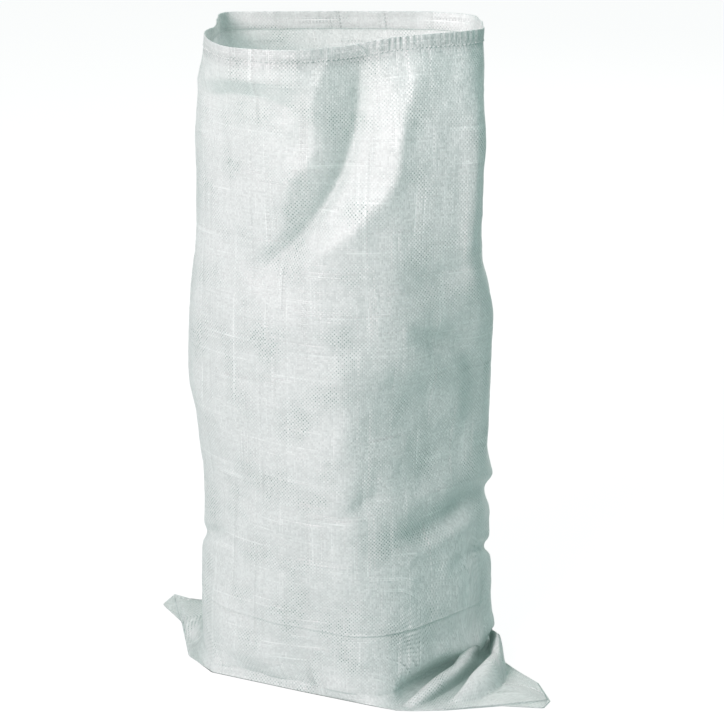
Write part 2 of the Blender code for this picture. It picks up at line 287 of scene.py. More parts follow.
# X, Y, Z of the wall before its folds, row by row: smooth curves up through the foot's plan,
# the body's plans and the mouth, with the rim's rise fading downwards
def standingForm(around, heights):
    mouth = planRing(body["mouth"], around)
    rings = [toWorld(*roundGirth(body["foot"], around))]
    rings += [toWorld(*planRing(plan, around).T) for height, plan in body["plans"]]
    rings.append(toWorld(mouth[:, 0], mouth[:, 1]))
    planHeights = [height for height, plan in body["plans"]]
    stops = np.array([body["footTop"], *planHeights, body["standing"]]) * mm
    rows = curveThrough(stops, np.array(rings), heights)
    share = easeIn(1 - (body["standing"] * mm - heights) / (body["rimReach"] * mm))
    upright = heights[:, None] + mouth[:, 2] * share[:, None]
    return np.concatenate([rows, upright[..., None]], axis=-1)


# Folds, placed as the camera sees them on the upright plane through the sack's middle.
# line: across, up, height out of the cloth on its left, height on its right, in the
# direction of travel. width: how far each side is felt. soft: how gently the sides meet,
# at the line's start and end. bend: how round the line is where the flanks run straight
folds = {
    "mouthValley": {"width": (32, 26), "soft": (8, 8), "bend": 6, "line": [
        (24, 852, -1, -1), (17, 824, -11, -11), (13, 775, -24, -24), (7, 736, -29, -29),
        (-3, 703, -30, -30), (-17, 672, -31, -31), (-34, 643, -31, -31), (-57, 613, -30, -30),
        (-82, 584, -25, -25), (-110, 558, -14, -14), (-141, 534, -1, -1)]},
    "mouthRidge": {"width": (30, 46), "soft": (8, 8), "bend": 4, "line": [
        (84, 850, 2, 2), (83, 810, 9, 9), (74, 775, 15, 15), (66, 742, 17, 17), (62, 710, 17, 17),
        (60, 681, 18, 18), (46, 651, 18, 18), (23, 625, 17, 17), (0, 599, 15, 15),
        (-34, 573, 11, 11), (-75, 545, 5, 5), (-120, 522, 0, 0)]},
    "leftCrest": {"width": (36, 26), "soft": (2, 2), "bend": 2.5, "line": [
        (-20, 846, 0, 0), (-36, 812, 6, 6), (-50, 776, 10, 10), (-48, 738, 10, 10),
        (-44, 712, 10, 10), (-64, 682, 10, 10), (-84, 658, 10, 10), (-84, 632, 9, 9),
        (-86, 610, 9, 9), (-112, 582, 7, 7), (-140, 556, 1, 1)]},
    "shelfEdge": {"width": (15, 24), "soft": (5, 5), "bend": 1.5, "line": [
        (-222, 784, 5, 5), (-200, 782, 1, 1), (-175, 782, -5, -5), (-160, 782, -6, -6),
        (-125, 779, -6, -6), (-100, 773, -5, -5), (-82, 765, -4, -4), (-66, 752, 0, 0)]},
    "hemBulge": {"width": (60, 17), "soft": (5, 5), "bend": 2, "line": [
        (-214, 802, 1, 1), (-190, 804, 5, 5), (-150, 806, 9, 9), (-110, 802, 10, 10),
        (-78, 796, 7, 7), (-48, 794, 1, 1)]},
    "cheekBump": {"width": (30, 26), "soft": (5, 5), "line": [
        (2, 392, 1, 1), (32, 402, 3, 2), (66, 404, 6, 4), (100, 398, 8, 6), (126, 378, 7, 6),
        (132, 345, 4, 4), (124, 318, 0, 0)]},
    "cheekHollow": {"width": (16, 12), "soft": (4, 4), "line": [
        (78, 470, 0, 0), (96, 455, -5, -5), (116, 447, -9, -9), (136, 444, -9, -9),
        (156, 432, -6, -6), (163, 405, -5, -5), (161, 360, -4, -4), (150, 322, 0, 0)]},
    "upperWedge": {"width": (20, 20), "soft": (8, 8), "line": [
        (70, 552, 0, 0), (92, 528, -3, -3), (118, 534, -4, -4), (147, 548, -4, -4),
        (172, 560, -3, -3)]},
    "lowValley": {"width": (13, 17), "soft": (5, 5), "line": [
        (50, 149, 0, 0), (76, 160, -3, -3), (101, 173, -6, -6), (123, 188, -8, -8),
        (136, 203, -11, -11), (150, 217, -12, -12), (166, 230, -10, -10), (184, 240, -7, -7)]},
    "lowBank": {"width": (26, 22), "soft": (6, 6), "line": [
        (30, 176, 1, 1), (60, 196, 4, 4), (90, 214, 6, 6), (118, 236, 7, 7), (150, 256, 6, 6),
        (190, 262, 5, 5)]},
    "lowRidge": {"width": (12, 18), "soft": (5, 5), "line": [
        (184, 204, 2, 2), (150, 180, 4, 4), (120, 160, 4, 4), (90, 144, 3, 3), (60, 134, 0, 0)]},
    "shortValley": {"width": (9, 12), "soft": (4, 4), "line": [
        (48, 232, 0, 0), (30, 220, -3, -3), (12, 207, -4, -4), (-6, 195, -3, -3), (-26, 184, 0, 0)]},
    "cornerSoft": {"width": (14, 14), "soft": (4, 4), "line": [
        (2, 508, 0, 0), (-14, 466, 2, 2), (0, 434, -1, -1), (-10, 404, 2, 2), (6, 364, -1, -1),
        (-12, 300, 2, 2), (-6, 256, -1, -1), (-22, 222, 2, 2), (0, 190, 0, 0)]},
    "lip": {"width": (16, 10), "soft": (2, 2), "line": [
        (146, -32, 0, 0), (158, -20, 6, 0), (171, -11, 7, -2), (183, 0, 5, -4), (192, 16, 3, -5),
        (199, 36, 2, -4), (202, 52, 0, 0)]},
    "waistNotch": {"width": (9, 9), "soft": (3, 3), "line": [
        (190, 152, -10, -10), (176, 148, -6, -6), (165, 140, -4, -4), (146, 122, -1, -1)]},
    "silhouetteBulge": {"width": (10, 10), "soft": (3, 3), "line": [
        (200, 262, 3, 3), (184, 256, 2.5, 2.5), (160, 250, 0, 0)]},
    "leftNotch": {"width": (11, 11), "soft": (4, 4), "line": [
        (-214, 176, -6, -6), (-196, 172, -6, -6), (-176, 166, -2, -2)]},
}


# Rolls of cloth that fan out from under the body onto the right-hand ear, seen from above
# and square to the camera: across, away, height, how wide the left and right sides are, in
# the line's own direction, and how far it hangs over to its left for each mm of height
rolls = {
    "first": [
        (164, -64, 34, 14, 8, 0.1), (154, -82, 31, 16, 8, 0.3), (141, -99, 28, 19, 9, 0.4),
        (127, -115, 26, 22, 10, 0.5), (111, -136, 24, 22, 11, 0.5), (97, -156, 20, 20, 11, 0.5),
        (88, -171, 14, 16, 11, 0.4), (79, -181, 8, 12, 10, 0.3), (72, -190, 1, 10, 10, 0)],
    "second": [
        (186, 8, 3, 8, 6, 0), (190, -8, 18, 9, 7, 0), (194, -24, 36, 10, 7, 0),
        (198, -46, 42, 12, 8, 0), (197, -70, 37, 14, 8, 0), (193, -91, 33, 20, 9, 0),
        (186, -108, 31, 24, 9, -0.1), (178, -123, 29, 27, 9, -0.15), (167, -140, 25, 28, 10, -0.2),
        (156, -158, 19, 24, 10, -0.2), (144, -172, 12, 18, 10, -0.2), (132, -182, 6, 13, 9, -0.1),
        (122, -190, 1, 10, 9, 0)],
    "leftRise": [
        (-268, 158, 1, 26, 26, 0), (-243, 124, 8, 40, 40, 0), (-217, 92, 13, 50, 50, 0),
        (-198, 62, 17, 55, 55, 0)],
}


# Places set against a line of points, piece by piece: how far each is from its nearest point on
# the line, on which side of it (1 is left), how far along, and the line's direction there
def nearestOn(path, along, across, up):
    nearest = np.full(across.shape, 1.0)
    side = np.zeros(across.shape)
    share = np.zeros(across.shape)
    heading = np.zeros(across.shape + (2,))
    for k in range(len(along) - 1):
        step = path[k + 1] - path[k]
        gapX, gapY = across - path[k, 0], up - path[k, 1]
        t = np.clip((gapX * step[0] + gapY * step[1]) / (step @ step), 0, 1)
        off = np.hypot(gapX - t * step[0], gapY - t * step[1])
        closer = off < nearest
        nearest = np.where(closer, off, nearest)
        side = np.where(closer, np.sign(step[0] * gapY - step[1] * gapX), side)
        share = np.where(closer, along[k] + t * (along[k + 1] - along[k]), share)
        heading[closer] = step / np.hypot(*step)
    return nearest, side, share, heading


# A ring with one roll raised on it: the arch h (1 - |d / w|^3) of the distance d to its
# line, with a width w for each side, hanging over sideways by its lean
def addRoll(ring, line, felt):
    across = ring[:, 0] * math.cos(turn) + ring[:, 1] * math.sin(turn)
    away = ring[:, 1] * math.cos(turn) - ring[:, 0] * math.sin(turn)
    stops = np.array(line, dtype=float) * mm
    run = runAlong(stops[:, :2])
    along = np.linspace(0, run[-1], 8 * len(stops))
    path = curveThrough(run, stops, along)
    nearest, side, share, heading = nearestOn(path[:, :2], along, across, away)
    height, leftWidth, rightWidth, lean = (
        np.interp(share, along, path[:, k]) for k in (2, 3, 4, 5))
    width = np.where(side > 0, leftWidth, rightWidth)
    raised = felt * height * np.clip(1 - (nearest / width) ** 3, 0, None)
    higher = np.maximum(raised - ring[:, 2], 0)
    over = higher * lean / mm
    out = ring.copy()
    out[:, :2] += toWorld(-heading[:, 1] * over, heading[:, 0] * over)
    out[:, 2] += higher
    return out


# Where the line from the camera through each point meets the upright plane through the sack's
# middle: across and up, in metres
def viewPlane(points):
    place, right, forward = viewAxes()
    ray = points - place
    hit = place + ray * (-(place @ forward) / (ray @ forward))[..., None]
    return hit @ right, hit[..., 2]


# A bell of a distance d: exp(-(d / width)^2)
def bell(distance, width):
    return np.exp(-((distance / (width * mm)) ** 2))


# A fold's flank: a bell, or for a bend b the straight flank exp(-(sqrt(d^2 + b^2) - b) / width)
def flank(nearest, width, bend):
    if bend is None:
        return bell(nearest, width)
    reach = np.sqrt(nearest**2 + (bend * mm) ** 2) - bend * mm
    return np.exp(-reach / (width * mm))


# Height of one fold: each side of its line has its own height times a flank of the distance,
# and the two are joined by the smooth step 1 / (1 + exp(-2 d / soft))
def foldRelief(across, up, fold):
    stops = np.array(fold["line"], dtype=float) * mm
    run = runAlong(stops[:, :2])
    along = np.linspace(0, run[-1], 5 * len(stops))
    path = curveThrough(run, stops, along)
    nearest, side, share, heading = nearestOn(path[:, :2], along, across, up)
    left, right = (
        np.interp(share, along, path[:, k]) * flank(nearest, width, fold.get("bend"))
        for k, width in zip((2, 3), fold["width"]))
    soft = np.interp(share, [0, run[-1]], fold["soft"]) * mm
    leftShare = 1 / (1 + np.exp(-np.clip(side * nearest / soft * 2, -30, 30)))
    return left * leftShare + right * (1 - leftShare)


# Unit normals of a grid that closes round its second direction: the cross product of the steps
# round and up
def surfaceNormals(points):
    sideways = np.roll(points, -1, axis=1) - np.roll(points, 1, axis=1)
    normal = np.cross(sideways, np.gradient(points, axis=0))
    return normal / np.maximum(np.linalg.norm(normal, axis=-1), 1e-9)[..., None]


# The cloth's grid, its hems and the way its bottom edge is folded
cloth = {
    # places round the girth with a column, and heights with a row: from, to, step
    "columns": [(0, 100, 2.5), (100, 600, 5.0), (600, 940, 3.4), (940, 1200, 2.0)],
    "rows": [
        (12, 40, 1.4), (41, 90, 2.6), (90, 100.5, 1.0), (103, 260, 4.0), (260, 760, 7.0),
        (762, 868, 3.5)],
    # heights of the layers under the base, of the folded flap and of the ears' top
    "floorGap": 0.8, "flapHeight": 2.4, "earHeight": 4.4, "layerGap": 0.6, "lowest": 0.6,
    # the stitched seam under the base: how far away it lies, and how far its ends swing
    "seamPlace": 10, "seamSwing": 42, "underRows": 10,
    # the skirt runs over the ears to the wall; shares of it are from 0 to 1
    "skirtRows": 40, "footBend": 12, "rollStart": 0.12, "rollEnd": 0.04, "foldStart": 0.4,
    # how far round from the photographed side the folds fade, as a cosine
    "foldFade": 0.4,
    "hemStart": 2.0, "hemDepth": 23, "hemRows": 8, "hemGap": 1.0, "hemSpread": 20, "rimRise": 0.4,
    "stitchDrop": 16, "grooveDepth": 0.8, "grooveWidth": 3,
    # the crease round the body: a ridge, and a valley of 0.7 of its height a little lower
    "creaseHeight": 95, "creaseWidth": 1.6, "valleyDrop": 2.56, "valleyShare": 0.7,
    # place round the girth and how far the crease round the body stands out there
    "creaseRise": [
        (150, 0.4), (600, 0.5), (850, 0.5), (980, 0.7), (1020, 1.1), (1100, 1.3), (1160, 0.9)],
    "puckerRise": 0.8, "puckerLength": 9.5, "puckerReach": 13, "puckerShare": 0.7,
    # how far the gathers wander sideways, and how much they vary: wavelength, size, seed
    "puckerDrift": (40, 2.2, 7), "puckerSwing": (60, 0.4, 8),
    # place round the girth, how strong the gathers are there (0 to 2) and how far the rim flares
    "gathers": [
        (20, 0.6, 1), (150, 1.3, 0), (560, 1.5, 0), (640, 0.4, 0), (760, 0.15, 0), (960, 0.3, 0),
        (1020, 0.9, 2.5), (1060, 1.0, 3.5), (1110, 0.65, 4.0), (1180, 0.5, 3.5)],
    # the cloth's own unevenness: wavelength, height, seed
    "uneven": [(90, 0.6, 1), (38, 0.2, 2), (17, 0.12, 3)],
    "levelFrom": 250,                      # above this the tapes' rows all lie level
    # place round the girth and how far the ears' height is felt there (0 to 1)
    "earShare": [(40, 1), (90, 0), (500, 0), (545, 1), (650, 1), (700, 0), (1060, 0), (1120, 1)],
    # edge of the ears' top layer where it lies inside the base's outer edge
    "topEdge": [
        (-25, 304, -38), (-16, 310, -31), (20, 279, 8), (45, 246, 25), (60, 232, 29), (78, 209, 46),
        (156, 144, 150), (444, -138, 154), (500, -192, 92), (530, -224, 40), (556, -262, 20),
        (572, -286, 24), (585, -302, 15), (600, -288, -4), (618, -270, -26), (642, -250, -50),
        (700, -184, -136), (756, -129, -163), (900, 7, -157), (1010, 112, -150), (1040, 142, -148),
        (1062, 162, -141), (1100, 200, -119), (1140, 252, -80)],
    "outerEdge": [
        (-25, 314, -52), (-14, 314, -30), (20, 280, 10), (45, 247, 27), (60, 233, 30),
        (78, 210, 48), (156, 145, 152), (444, -139, 156), (500, -194, 94), (530, -226, 42),
        (556, -264, 23), (572, -290, 28), (585, -313, 30), (604, -309, -8), (642, -254, -45),
        (700, -186, -134), (756, -130, -164), (900, 6, -158), (1010, 112, -151), (1040, 144, -148),
        (1062, 162, -141), (1100, 200, -119), (1146, 262, -72)],
}


# A smooth random field of about unit height: the sum of 24 plane waves cos(k . p + phase) of
# nearly the same length, each a whole number of times round
def ripples(around, up, wavelength, seed):
    pick = np.random.default_rng(seed)
    total = np.zeros(np.broadcast(around, up).shape)
    for _ in range(24):
        length = wavelength * mm * pick.uniform(0.75, 1.5)
        heading = pick.uniform(0, 2 * math.pi)
        laps = round(girth / length * math.cos(heading))
        climb = math.sin(heading) / length
        phase = pick.uniform(0, 2 * math.pi)
        total += np.cos(2 * math.pi * (around / girth * laps + up * climb) + phase)
    return total / math.sqrt(12)


# A ring of X, Y at a height in mm
def layer(ring, height):
    return np.column_stack([ring, np.broadcast_to(height * mm, len(ring))])


# Points of the woven tube on a grid: rows run from the seam under the base out to the base's
# edge, back over the ears, up the wall and to the rim
def clothGrid():
    around = np.concatenate([np.arange(*span) for span in cloth["columns"]]) * mm
    outer = np.stack(roundGirth(cloth["outerEdge"], around, False), axis=-1)
    top = np.stack(roundGirth(cloth["topEdge"], around, False), axis=-1)
    seamX = np.abs(around - girth / 2) - girth / 4
    seamEnd = easeIn((seamX - 0.2) / 0.1) * cloth["seamSwing"]
    seam = np.stack([seamX, cloth["seamPlace"] * mm - seamEnd * mm], axis=-1)
    (earShare,) = roundGirth(cloth["earShare"], around, False)
    low = cloth["floorGap"]
    gap = cloth["layerGap"]
    flap = low + (cloth["flapHeight"] - low) * earShare / mm
    ear = low + gap + (cloth["earHeight"] - low - gap) * earShare / mm
    # under the base the rows crowd towards the edge, then they step round it
    shares = 1 - np.linspace(1, 0, cloth["underRows"]) ** 2.5
    rows = [layer(seam + (outer - seam) * share, low) for share in shares]
    rows += [layer(outer, low + (flap - low) * t) for t in (0.5, 1.0)]
    rows += [layer(outer + (top - outer) * t, flap) for t in (0.03, 0.2, 0.5, 0.8, 0.97)]
    rows += [layer(top, flap + (ear - flap) * t) for t in (0.2, 0.8)]
    heights = [np.arange(*span) for span in cloth["rows"]] + [[body["standing"]]]
    heights = np.concatenate(heights) * mm
    wall = standingForm(around, heights)
    foot = wall[0, :, :2]
    # the skirt bends up only at the wall's foot, the later the wider it is there
    span = np.linalg.norm(foot - top, axis=1) / (cloth["footBend"] * mm)
    for t in (0.01, 0.03, 0.06, *np.linspace(0.1, 1, cloth["skirtRows"], endpoint=False)):
        ring = layer(top + (foot - top) * t, ear)
        ring[:, 2] += t ** (1 + span) * (heights[0] - ear * mm)
        felt = easeIn(t / cloth["rollStart"]) * easeIn((1 - t) / cloth["rollEnd"])
        for line in rolls.values():
            ring = addRoll(ring, line, felt)
        rows.append(ring)
    return around, np.array(rows), wall, heights


# How far the wall stands out of its plain form, row by row. The gathers are a cosine round the
# girth, and with the rim's flare they die away as a bell of the drop from the rim. The stitched
# groove, and the crease's ridge and valley, are bells of the height
def wallRelief(around, heights):
    length, drift, seed = cloth["puckerDrift"]
    wave = around + drift * mm * ripples(around, 0.0, length, seed)
    length, swing, seed = cloth["puckerSwing"]
    uneven = cloth["puckerShare"] + swing * ripples(around, 0.0, length, seed)
    gather = np.cos(2 * math.pi * wave / (cloth["puckerLength"] * mm)) * uneven
    share, flare = roundGirth(cloth["gathers"], around, False)
    drop = (body["standing"] * mm - heights)[:, None]
    relief = (gather * share * cloth["puckerRise"] + flare) * bell(drop, cloth["puckerReach"])
    groove = bell(drop - cloth["stitchDrop"] * mm, cloth["grooveWidth"])
    relief = relief - cloth["grooveDepth"] * mm * groove
    off = (heights - cloth["creaseHeight"] * mm)[:, None]
    ridge = bell(off, cloth["creaseWidth"])
    valley = bell(off + cloth["valleyDrop"] * mm, cloth["creaseWidth"])
    (rise,) = roundGirth(cloth["creaseRise"], around)
    relief = relief + rise * (ridge - cloth["valleyShare"] * valley)
    for wavelength, height, seed in cloth["uneven"]:
        relief = relief + height * mm * ripples(around, heights[:, None], wavelength, seed)
    return relief


# Rows of the hem: over the rim and down inside it, a gap inwards of the wall that widens as
# gap (1 + depth / spread)
def turnedHem(points, wall, heights):
    inwards = -surfaceNormals(points)[-1]
    inwards[:, 2] = 0
    inwards /= np.linalg.norm(inwards, axis=1)[:, None]
    gap = cloth["hemGap"] * mm
    rim = points[-1]
    hem = [rim + inwards * gap / 2 + [0, 0, cloth["rimRise"] * mm], rim + inwards * gap]
    for depth in np.linspace(cloth["hemStart"], cloth["hemDepth"], cloth["hemRows"]) * mm:
        level = np.interp(body["standing"] * mm - depth, heights, np.arange(len(heights)))
        row = int(level)
        below = wall[row] + (wall[row + 1] - wall[row]) * (level - row)
        hem.append(below + inwards * gap * (1 + depth / (cloth["hemSpread"] * mm)))
    return np.array(hem)


# The whole cloth as one grid: the tube's points moved along their normals by the folds and the
# wall's relief, with the hem's rows added at the rim
def buildSack():
    around, rows, wall, heights = clothGrid()
    lowRows = len(rows)
    points = np.concatenate([rows, wall])
    normals = surfaceNormals(points)
    across, up = viewPlane(points)
    toCamera = viewAxes()[0] - points
    toCamera /= np.linalg.norm(toCamera, axis=-1)[..., None]
    fade = cloth["foldFade"]
    facing = easeIn((np.sum(normals * toCamera, axis=-1) + fade) / fade)
    relief = sum(foldRelief(across, up, fold) for fold in folds.values()) * facing
    relief[lowRows:] += wallRelief(around, heights)
    skirt = np.arange(len(points)) - (lowRows - cloth["skirtRows"])
    relief *= easeIn(skirt / (cloth["foldStart"] * cloth["skirtRows"]))[:, None]
    points = points + normals * relief[..., None]
    points[..., 2] = np.maximum(points[..., 2], cloth["lowest"] * mm)
    wall = points[lowRows:]
    points = np.concatenate([points, turnedHem(points, wall, heights)])
    # how far up the flat cloth each row lies: low down each column's own length, higher up
    # the mean of all columns
    steps = np.linalg.norm(np.diff(points, axis=0), axis=-1)
    own = np.concatenate([np.zeros((1, len(around))), np.cumsum(steps, axis=0)])
    mean = own.mean(axis=1, keepdims=True)
    flatUp = mean + (own - mean) * easeIn(1 - points[..., 2] / (cloth["levelFrom"] * mm))
    print("sack shaped:", points.shape)
    return meshFromGrid("sackCloth", points, around, flatUp), around, wall, heights


# A grid that closes round its second direction, as a mesh with its flat cloth coordinates, in
# metres, as its UV map
def meshFromGrid(name, points, around, flatUp):
    rowCount, count = points.shape[:2]
    row, column = np.meshgrid(np.arange(rowCount - 1), np.arange(count), indexing="ij")
    nextColumn = (column + 1) % count
    faces = np.stack([row * count + column, row * count + nextColumn,
                      (row + 1) * count + nextColumn, (row + 1) * count + column], axis=-1)
    faces = faces.reshape(-1, 4)
    mesh = bpy.data.meshes.new(name)
    mesh.vertices.add(rowCount * count)
    mesh.vertices.foreach_set("co", points.reshape(-1).astype(np.float32))
    mesh.loops.add(faces.size)
    mesh.loops.foreach_set("vertex_index", faces.reshape(-1).astype(np.int32))
    mesh.polygons.add(len(faces))
    mesh.polygons.foreach_set("loop_start", np.arange(0, faces.size, 4, dtype=np.int32))
    mesh.update(calc_edges=True)
    wide = np.append(around, girth)
    u = np.stack([wide[column], wide[column + 1], wide[column + 1], wide[column]], axis=-1)
    v = np.stack([flatUp[row, column], flatUp[row, nextColumn], flatUp[row + 1, nextColumn],
                  flatUp[row + 1, column]], axis=-1)
    flatCloth = mesh.uv_layers.new(name="flatCloth")
    flatCloth.data.foreach_set("uv", np.stack([u, v], axis=-1).reshape(-1).astype(np.float32))
    mesh.shade_smooth()
    piece = bpy.data.objects.new(name, mesh)
    bpy.context.scene.collection.objects.link(piece)
    return piece


# Sewing: one thread in stitches round the mouth's hem, one through the bottom edge that
# is folded under the base, and the same row where it shows on top of each ear
stitches = {
    "thickness": 1.0, "pitch": 7.0, "rise": 0.85, "middle": 0.2, "sides": 6, "step": 0.9,
    # X, Y of each run along the bottom, the height of the cloth that it is sewn through, and
    # how much of its rise is left when the cloth lies on it
    "bottom": {
        "rightEar": {
            "line": [(238, -19), (256, -13), (272, -11), (290, -15), (303, -22)],
            "height": 4.9, "free": 1.0},
        "leftEar": {
            "line": [(-247, 6), (-262, 11), (-280, 16), (-296, 20), (-306, 22)],
            "height": 4.9, "free": 1.0},
        "under": {
            "line": [(-262, -6), (-240, 4), (-200, 10), (0, 10), (200, 10), (240, 4), (262, -6)],
            "height": 0.3, "free": 0.2},
    },
    "mouthStart": 300,
    # the loose end of the mouth's thread: place round the girth, above the rim, out of the wall
    "looseEnd": [(1008, -14, 1.0), (1004, -9, 2.2), (999, -3, 2.4), (993, 2, 1.6), (989, 5, 0.2)],
    "endPoints": 24,
}


# A thread round a path: each point plus r (side cos a + up sin a), with closed ends
def buildThread(name, paths):
    points = []
    faces = []
    sides = stitches["sides"]
    angle = np.arange(sides) * 2 * math.pi / sides
    for path in paths:
        ahead = np.gradient(path, axis=0)
        ahead /= np.linalg.norm(ahead, axis=1)[:, None]
        across = np.cross(ahead, [0, 0, 1.0])
        across /= np.linalg.norm(across, axis=1)[:, None]
        up = np.cross(across, ahead)
        ring = across[:, None] * np.cos(angle)[:, None] + up[:, None] * np.sin(angle)[:, None]
        first = len(points) * sides
        points.extend(path[:, None] + ring * stitches["thickness"] / 2 * mm)
        row, column = np.meshgrid(np.arange(len(path) - 1), np.arange(sides), indexing="ij")
        after = (column + 1) % sides
        quads = np.stack([row * sides + column, (row + 1) * sides + column,
                          (row + 1) * sides + after, row * sides + after], axis=-1)
        faces.extend((quads.reshape(-1, 4) + first).tolist())
        faces.append((np.arange(sides) + first).tolist())
        faces.append((np.arange(sides)[::-1] + first + (len(path) - 1) * sides).tolist())
    mesh = bpy.data.meshes.new(name)
    mesh.from_pydata(np.concatenate(points).tolist(), [], faces)
    mesh.shade_smooth()
    piece = bpy.data.objects.new(name, mesh)
    bpy.context.scene.collection.objects.link(piece)
    return piece


# How far a stitched thread stands out of its cloth along its length s:
# middle + rise cos(2 pi s / pitch)
def stitchWave(run):
    swing = stitches["rise"] * np.cos(2 * math.pi * run / (stitches["pitch"] * mm))
    return (stitches["middle"] + swing) * mm


# The thread follows the wall's row at the hem's stitches, moved out along the normals by the
# stitches' wave
def buildMouthStitches(around, wall, heights):
    sewn = body["standing"] * mm - cloth["stitchDrop"] * mm
    row = np.argmin(abs(heights - sewn))
    normals = surfaceNormals(wall)

    # a row of the wall's points or normals, which closes round, read at places in metres
    def onWall(place, values):
        closed = np.vstack([values, values[:1]])
        wide = np.append(around, girth)
        return np.stack([np.interp(place % girth, wide, column) for column in closed.T], axis=-1)

    start = stitches["mouthStart"] * mm
    place = np.arange(start, start + girth, stitches["step"] * mm)
    line = onWall(place, wall[row]) + onWall(place, normals[row]) * stitchWave(place)[:, None]
    end = np.array(stitches["looseEnd"], dtype=float) * mm
    stops = np.linspace(0, 1, len(end))
    place, above, out = curveThrough(stops, end, np.linspace(0, 1, stitches["endPoints"])).T
    loose = onWall(place, wall[-1]) + onWall(place, normals[-1]) * out[:, None]
    loose[:, 2] += above
    return buildThread("mouthStitches", [line, loose])


# Each run is a smooth curve over its stops, at the cloth's height plus the stitches' wave
def buildBottomStitches():
    paths = []
    for run in stitches["bottom"].values():
        stops = np.array(run["line"], dtype=float) * mm
        length = runAlong(stops)
        along = np.arange(0, length[-1], stitches["step"] * mm)
        line = curveThrough(length, stops, along)
        lift = run["free"] * stitchWave(along)
        paths.append(np.column_stack([line, run["height"] * mm + lift]))
    return buildThread("bottomStitches", paths)


# Spun polyester sewing thread: matt white and twisted, with painted shade making it darker between its
# plies
thread = {
    "colour": "F4F7F6", "shade": "C3CCC9", "roughness": 0.75,
    "twist": 1.6,                          # length of one ply's band
    "twistWander": 1.5, "plyDepth": 0.2, "plyStrength": 0.6,
}
waveBand = 0.314                           # band of the wave texture at a scale of 1


def sewingThread():
    material = bpy.data.materials.new("spun polyester thread")
    material.use_nodes = True
    tree = material.node_tree
    shader = tree.nodes["Principled BSDF"]
    place = addNode(tree, "ShaderNodeTexCoord", gives="Object")
    plies = addNode(tree, "ShaderNodeTexWave", gives="Fac", settings={
        "bands_direction": "DIAGONAL", "Scale": waveBand / (thread["twist"] * mm),
        "Distortion": thread["twistWander"], "Detail": 1.0, "Vector": place})
    # painted shade between the plies
    tone = addNode(tree, "ShaderNodeMix", gives=2, settings={
        "data_type": "RGBA", "Factor": plies,
        6: linear(thread["shade"]), 7: linear(thread["colour"])})
    tree.links.new(tone, shader.inputs["Base Color"])
    shader.inputs["Roughness"].default_value = thread["roughness"]
    bump = addNode(tree, "ShaderNodeBump", settings={
        "Strength": thread["plyStrength"], "Distance": thread["plyDepth"] * mm, "Height": plies})
    tree.links.new(bump, shader.inputs["Normal"])
    return material


# Woven polypropylene: flat white slit tapes 2.5 mm wide, stretched and slightly glossy.
# Each tape leans a little its own way, so that in half light it shows as a thin bright or
# dark line; where a weft tape is on top there is a small dot, less glossy and painted darker as shade.
weave = {
    "tape": 2.54, "colour": "F1F4F3", "dotShadeColour": "7C958E", "roughness": 0.42, "specular": 0.6,
    "glow": 0.27, "glowColour": "E6F0EE",  # light that passes through the cloth
    # relief of a tape, how round it is across and how bowed along
    "relief": 0.15, "roundness": 2.5, "bow": 0.6,
    # for the warp and for the weft: size round the girth and up of the runs in which tapes
    # lean and carry a painted highlight line, and the draws of each tape's lean, highlight and tone
    "runs": [(14.2857, 111.1111), (90.9091, 14.2857)], "draws": [(0.11, 0.31, 0.7), (0.47, 0.67, 0.9)],
    "lean": 0.62, "leanPower": 3.0, "leanShare": 0.05, "leanGain": 5.0, "cellLean": 0.2,
    # line, linePower, lineGain: strength, draw power and run gain of the tapes' painted highlight
    # lines
    "line": 0.36, "linePower": 3.5, "lineGain": 4.0, "streak": 0.03, "sparkle": 0.2,
    # the cloth's crinkles: two sizes, the share of the finer and their height
    "crinkles": (22.2222, 6.25), "fineShare": 0.4, "crinkle": 0.16,
    # dots, less glossy and painted darker as shade: strength, and size, least, middle and gain
    # of the patches in which they show
    "dot": 1.25, "patches": 62.5, "patchLeast": 0.06, "patchMiddle": 0.25, "patchGain": 4.0,
    "dotLeast": 0.1, "dotSpread": 1.4,
    # the hem is double above this, over a short fade: painted paler as light, with fewer dots
    "hemFrom": 848, "hemFade": 3, "hemDots": 0.35, "hemPaintedPaler": 0.08, "paleness": 1.06,
    # painted shade in the folds: how far the cloth's nearness is felt, how sharply, how strongly, and
    # its colour
    "creaseReach": 22, "creasePower": 1.5, "creaseShade": 0.85, "creaseShadeColour": "6C968B",
}


